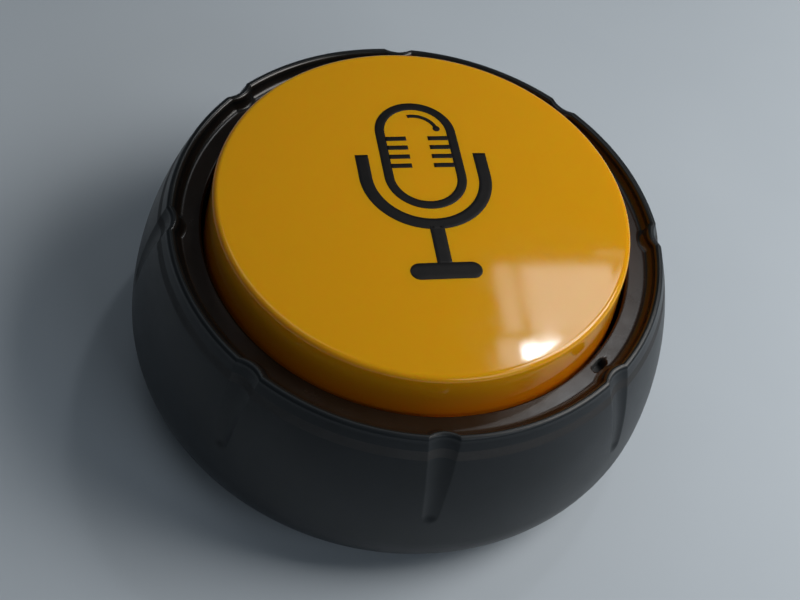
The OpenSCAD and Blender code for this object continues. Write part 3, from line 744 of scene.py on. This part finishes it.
# distance from the middle and height along the microphone's pair, which runs inwards at MIC_ANGLE
MIC_ROUTE = [[36.5, 28.4], [36.8, 26], [37, 23.5], [36.4, 21.4], [34.4, 20.2], [29, 20], [25, 20.1],
             [23, 20.15], [22.29, 19.86], [22, 19.3], [22, 19.12]]
MIC_APART, MIC_LEAD_R = 0.75, 0.45
COS, SIN = math.cos(math.radians(MIC_ANGLE)), math.sin(math.radians(MIC_ANGLE))
lead("microphone_lead_pair", "microphone_leads", "lead_black", BLACK,
     [[[COS * r - SIN * MIC_APART * k, SIN * r + COS * MIC_APART * k, z] for r, z in MIC_ROUTE]
      for k in (-1, 1)], MIC_LEAD_R)

# run inwards, spread and height along the mode switch's three leads
SWITCH_X, SWITCH_Y = -31.5, 2
SWITCH_ROUTE = [(0, 2.5, 7.6), (0, 2.5, 10.5), (1, 2.2, 14), (4.5, 1.8, 16.2), (9.4, 1.6, 16.35),
                (10.11, 1.6, 16.64), (10.4, 1.6, 17.2), (10.4, 1.6, 17.47)]
lead("mode_switch_lead_trio", "mode_switch_leads", "lead_yellow", LEMON,
     [[[SWITCH_X + x, SWITCH_Y + y * k, z] for x, y, z in SWITCH_ROUTE] for k in (-1, 0, 1)])


# ---- feet and screws ------------------------------------------------------------------------------

FOOT_SPOTS = [(19, 26), (-19, 26), (18, -27.5), (-18, -27.5)]
foot_outline = chain(line((0, 0), (2.7, 0), 4), arc((2.9, 0.6), 0.6, -90, 0, 8),
                     line((3.5, 0.6), (3.5, 1.8), 3), line((3.5, 1.8), (0, 1.8), 3))
foot_shapes = [lathe(foot_outline, 64, spot) for spot in FOOT_SPOTS]
feet = finish_mesh(make_mesh("rubber_feet", *join_shapes(foot_shapes)))
dress(feet, "base_unit", "foot_rubber", RUBBER)
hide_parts("foot_pads")


def screw(z, head_r, head_h, shank_r, shank_h, spot, pitch=0.9):
    """A pan-head screw, head down, as one surface over turn and run. On the head's face a cross is
    pressed in; along the shank the radius is shank_r - depth * tooth(run / pitch - turn), where tooth
    is a triangle wave, so the thread climbs one pitch each turn; the last part narrows to a point."""
    face = line((0, 0), (head_r - 0.35, 0), 15)
    rim = arc((head_r - 0.4, 0.4), 0.4, -80, 0, 6)
    neck = line((head_r, head_h), (shank_r, head_h), 3)
    run = np.arange(head_h + 0.1, head_h + shank_h, pitch / 6)
    shank = np.column_stack([np.full(len(run), shank_r), run])
    outline = np.vstack([face, rim, neck, shank, [[0, head_h + shank_h]]])
    count = 72
    a = np.linspace(0, 2 * np.pi, count, endpoint=False)
    r = np.broadcast_to(outline[:, :1], (len(outline), count)).copy()
    h = np.broadcast_to(outline[:, 1:], r.shape).copy()
    on_shank = (np.arange(len(outline)) >= len(outline) - len(shank) - 1)[:, None]
    wave = h / pitch - a / (2 * np.pi)
    tooth = np.abs(2 * (wave - np.floor(wave)) - 1)
    left = head_h + shank_h - h
    r = np.where(on_shank, (r - 0.22 * shank_r * tooth) * np.clip(left / 1.4, 0, 1) ** 0.6, r)
    x, y = r * np.cos(a), r * np.sin(a)
    slot_half, reach = 0.3, head_r * 0.62
    arms = []
    for over, along in ((x, y), (y, x)):
        narrow = 1 - smooth_step(np.abs(over), slot_half - 0.1, slot_half + 0.08)
        ends = 1 - smooth_step(np.abs(along), reach - 0.25, reach)
        arms.append(narrow * ends)
    cross = np.maximum(*arms)
    depth = 0.5 * head_h * (1 - 0.4 * r / head_r)
    h = np.where((h < 0.01) & ~on_shank, h + cross * depth, h)
    points = np.stack([x + spot[0], y + spot[1], h + z], axis=-1).reshape(-1, 3)
    return points, grid_faces(len(outline), count, wrap_columns=True).tolist()


def around(angles, radius):
    """Points on a circle at the given angles in degrees."""
    return [(radius * math.cos(math.radians(a)), radius * math.sin(math.radians(a))) for a in angles]


def screws(name, node, body, sizes, spots):
    piece = finish_mesh(make_mesh(name, *join_shapes([screw(*sizes, spot) for spot in spots])))
    dress(piece, body, "screw_steel", STEEL)
    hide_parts(node)


DOOR_SCREW_AT = (29.0, -10.5)
# each: lowest height, head radius and height, shank radius and length
screws("long_screws", "case_screws", "base_unit", (2.6, 2.5, 1.6, 1.25, 12), around(TAB_ANGLES, 31.5))
screws("ear_screws", "deck_screws", "base_unit", (19.6, 2.2, 1.4, 1.1, 7), around(EAR_ANGLES, 36.9))
screws("small_screws", "board_screws", "base_unit", (16.3, 2.0, 1.2, 1.0, 4.4),
       [(x, y) for x in (-20, 20) for y in (-12.5, 12.5)])
screws("door_screw", "battery_door_screw", "battery_cover", (1.5, 2.4, 1.2, 1.25, 5.3), [DOOR_SCREW_AT])


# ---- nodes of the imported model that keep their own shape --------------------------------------

FINISHES = {
    "base_plate": BASE, "battery_door": BASE, "inner_deck": WHITE, "microphone_boot": RUBBER,
    "battery_contact_link": NICKEL, "battery_contact_positive": NICKEL, "battery_contact_negative": NICKEL,
    "circuit_board": moulded("solder mask", (0.012, 0.13, 0.055), 0.25, 1.2, 0.01),
    "voice_chip": moulded("chip package", (0.016, 0.016, 0.016), 0.5),
    "capacitor": moulded("shrink sleeve", (0.03, 0.03, 0.09), 0.25),
    "tact_switch_body": moulded("switch housing", (0.025, 0.025, 0.025), 0.5),
    "tact_switch_plunger": moulded("switch plunger", (0.17, 0.08, 0.035), 0.4),
    "microphone_capsule": STEEL, "speaker_frame": STEEL, "mode_switch_body": STEEL,
    "speaker_magnet": metal("magnet plating", (0.45, 0.45, 0.47), 0.32),
    "speaker_cone": moulded("cone paper", (0.03, 0.03, 0.034), 0.8, 0.5, 0.03),
    "speaker_gasket": moulded("gasket foam", (0.04, 0.04, 0.04), 0.9, 0.4, 0.05),
    "mode_switch_knob": moulded("switch knob", (0.70, 0.70, 0.66), 0.4),
}
for node, finish in FINISHES.items():
    NODES[node].data.materials.clear()
    NODES[node].data.materials.append(finish)


# ---- floor, light and camera ------------------------------------------------------------------

def point_at(piece, target):
    """Turns a lamp or the camera so that it looks at target."""
    piece.rotation_euler = (Vector(target) - piece.location).to_track_quat("-Z", "Y").to_euler()


def softbox(name, place, target, size, power, colour):
    """A rectangular soft light."""
    lamp = bpy.data.lights.new(name, "AREA")
    lamp.shape = "RECTANGLE"
    lamp.size, lamp.size_y = size
    lamp.energy = power
    lamp.color = colour
    piece = bpy.data.objects.new(name, lamp)
    piece.location = place
    bpy.context.scene.collection.objects.link(piece)
    point_at(piece, target)
    return piece


FAR = 2000
floor = make_mesh("floor", [(-FAR, -FAR, 0), (FAR, -FAR, 0), (FAR, FAR, 0), (-FAR, FAR, 0)], [[0, 1, 2, 3]])
floor.data.materials.append(floor_finish())

CAMERA_AZIMUTH, CAMERA_ELEVATION, CAMERA_DISTANCE = -16.75, 51.1, 265.4
CAMERA_AIM_Z, CAMERA_TILT, CAMERA_ROLL, LENS = 20.0, -0.74, 14.72, 72.0


def build_camera():
    """The camera on a sphere about a point inside the buzzer, tilted a little off it and rolled about
    its own view line."""
    az, el = math.radians(CAMERA_AZIMUTH), math.radians(CAMERA_ELEVATION)
    away = Vector((math.sin(az) * math.cos(el), -math.cos(az) * math.cos(el), math.sin(el)))
    data = bpy.data.cameras.new("camera")
    data.lens, data.sensor_width, data.sensor_fit = LENS, 36.0, "HORIZONTAL"
    data.clip_start = 0.01
    camera = bpy.data.objects.new("camera", data)
    bpy.context.scene.collection.objects.link(camera)
    place = Vector((0, 0, CAMERA_AIM_Z * MM)) + away * CAMERA_DISTANCE * MM
    turn = (-away).to_track_quat("-Z", "Y").to_matrix().to_4x4()
    tilt = Matrix.Rotation(math.radians(CAMERA_TILT), 4, "X")
    roll = Matrix.Rotation(math.radians(CAMERA_ROLL), 4, "Z")
    camera.matrix_world = Matrix.Translation(place) @ turn @ tilt @ roll
    bpy.context.scene.camera = camera


build_camera()

world = bpy.data.worlds.new("room")
world.use_nodes = True
world.node_tree.nodes["Background"].inputs["Color"].default_value = (0.66, 0.74, 0.80, 1)
world.node_tree.nodes["Background"].inputs["Strength"].default_value = 0.085
bpy.context.scene.world = world
bpy.context.scene.view_settings.view_transform = "Standard"


def direction(azimuth, elevation):
    """Unit vector from the buzzer; azimuth runs from +Y towards +X."""
    a, e = math.radians(azimuth), math.radians(elevation)
    return np.array([math.sin(a) * math.cos(e), math.cos(a) * math.cos(e), math.sin(e)])


def lamp_towards(name, azimuth, elevation, distance, size, power, colour):
    """A soft light in that direction, facing the buzzer."""
    return softbox(name, tuple(direction(azimuth, elevation) * distance), (0, 0, 0.02), size, power, colour)


PANE_AZIMUTH, PANE_ELEVATION, PANE_DISTANCE, PANE_TURN = 30.0, 51.5, 1.2, -33.0
PANE_COLOUR = (0.95, 0.98, 1.0)


def pane(name, across, up, size, radiance):
    """One bright window pane on a plane that faces the buzzer, at across and up in metres on it."""
    out = Vector(direction(PANE_AZIMUTH, PANE_ELEVATION))
    right = out.cross(Vector((0, 0, 1))).normalized()
    high = right.cross(out)
    power = radiance * math.pi * size[0] * size[1]
    place = out * PANE_DISTANCE + right * across + high * up
    piece = softbox(name, tuple(place), (0, 0, 0), size, power, PANE_COLOUR)
    turn = math.radians(PANE_TURN)
    x = right * math.cos(turn) + high * math.sin(turn)
    y = out.cross(x)
    basis = Matrix((x, y, out)).transposed()
    piece.matrix_world = Matrix.Translation(piece.location) @ basis.to_4x4()


pane("pane wide", 0.048, 0.016, (0.125, 0.102), 4.6)
pane("pane narrow", -0.023, 0.061, (0.026, 0.102), 3.8)
pane("pane low narrow", 0.010, 0.138, (0.026, 0.04), 3.6)
pane("pane low bright", 0.060, 0.112, (0.070, 0.034), 60)
pane("blind gap", 0.066, -0.078, (0.045, 0.006), 2.4)

lamp_towards("window light", 92, 48, 0.36, (0.20, 0.20), 0.9, (1.0, 0.97, 0.93))
lamp_towards("room light", 145, 32, 0.9, (0.5, 0.3), 0.9, (0.86, 0.93, 1.0))
lamp_towards("far light", -35, 66, 1.2, (0.6, 0.5), 0.6, (0.90, 0.95, 1.0))
